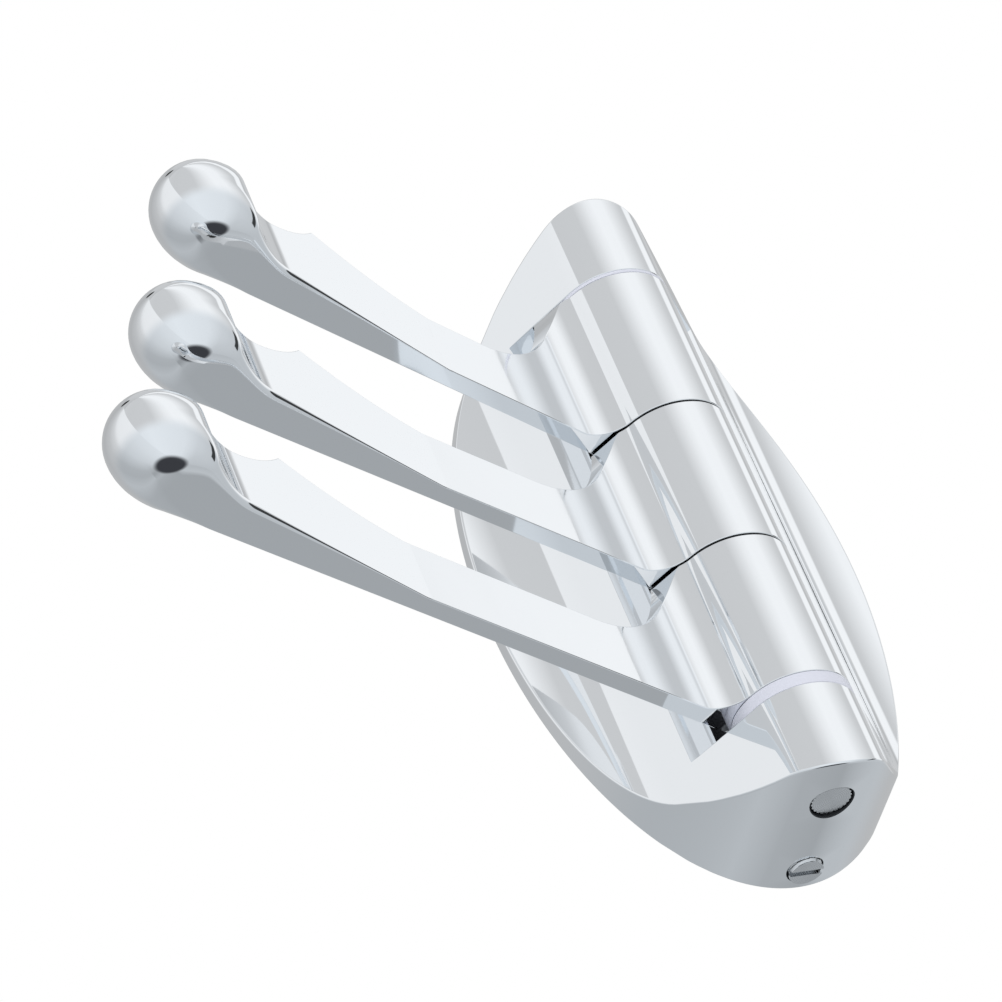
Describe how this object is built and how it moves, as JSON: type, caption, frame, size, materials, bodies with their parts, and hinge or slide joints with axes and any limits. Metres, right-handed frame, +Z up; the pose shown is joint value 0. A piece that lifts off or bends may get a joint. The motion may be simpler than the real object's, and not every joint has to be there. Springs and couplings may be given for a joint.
{
  "type": "swivel coat hook",
  "caption": "Wall-mounted swivel coat hook: an oval cast body whose barrel carries long ball-tipped arms that swing about one upright pin.",
  "frame": {"origin": "middle of the two wall screws on the wall plane, which is also the middle of the oval body's back", "axes": "-Y straight out of the wall, +Z up along the hinge pin, +X to the right as seen from the room"},
  "size_m": [0.1334, 0.0863, 0.1027],
  "materials": {
    "chrome_body": "bright chrome plating on polished zinc die-casting",
    "chrome_arm": "bright chrome plating on polished zinc die-casting",
    "zinc_plated_steel": "black-passivated zinc plating on sheet steel",
    "bright_steel": "turned bright steel",
    "pale_nylon": "pale natural nylon",
    "dark_acetal": "dark acetal"
  },
  "bodies": {
    "root": {"body": "chrome_body", "wall_bracket": "zinc_plated_steel", "grub_screw": "bright_steel", "hinge_pin": "bright_steel", "top_washer": "pale_nylon", "upper_spacer": "dark_acetal", "lower_spacer": "dark_acetal", "bottom_washer": "pale_nylon"},
    "upper_arm": {"upper_hook": "chrome_arm"},
    "middle_arm": {"middle_hook": "chrome_arm"},
    "lower_arm": {"lower_hook": "chrome_arm"}
  },
  "joints": [
    {"name": "upper_swing", "type": "hinge", "parent": "root", "child": "upper_arm", "pos_m": [0, -0.0182, 0.0249], "axis": [0, 0, 1], "range_deg": [-10, 150]},
    {"name": "middle_swing", "type": "hinge", "parent": "root", "child": "middle_arm", "pos_m": [0, -0.0182, 0.0007], "axis": [0, 0, 1], "range_deg": [-10, 150]},
    {"name": "lower_swing", "type": "hinge", "parent": "root", "child": "lower_arm", "pos_m": [0, -0.0182, -0.0235], "axis": [0, 0, 1], "range_deg": [-10, 150]}
  ]
}
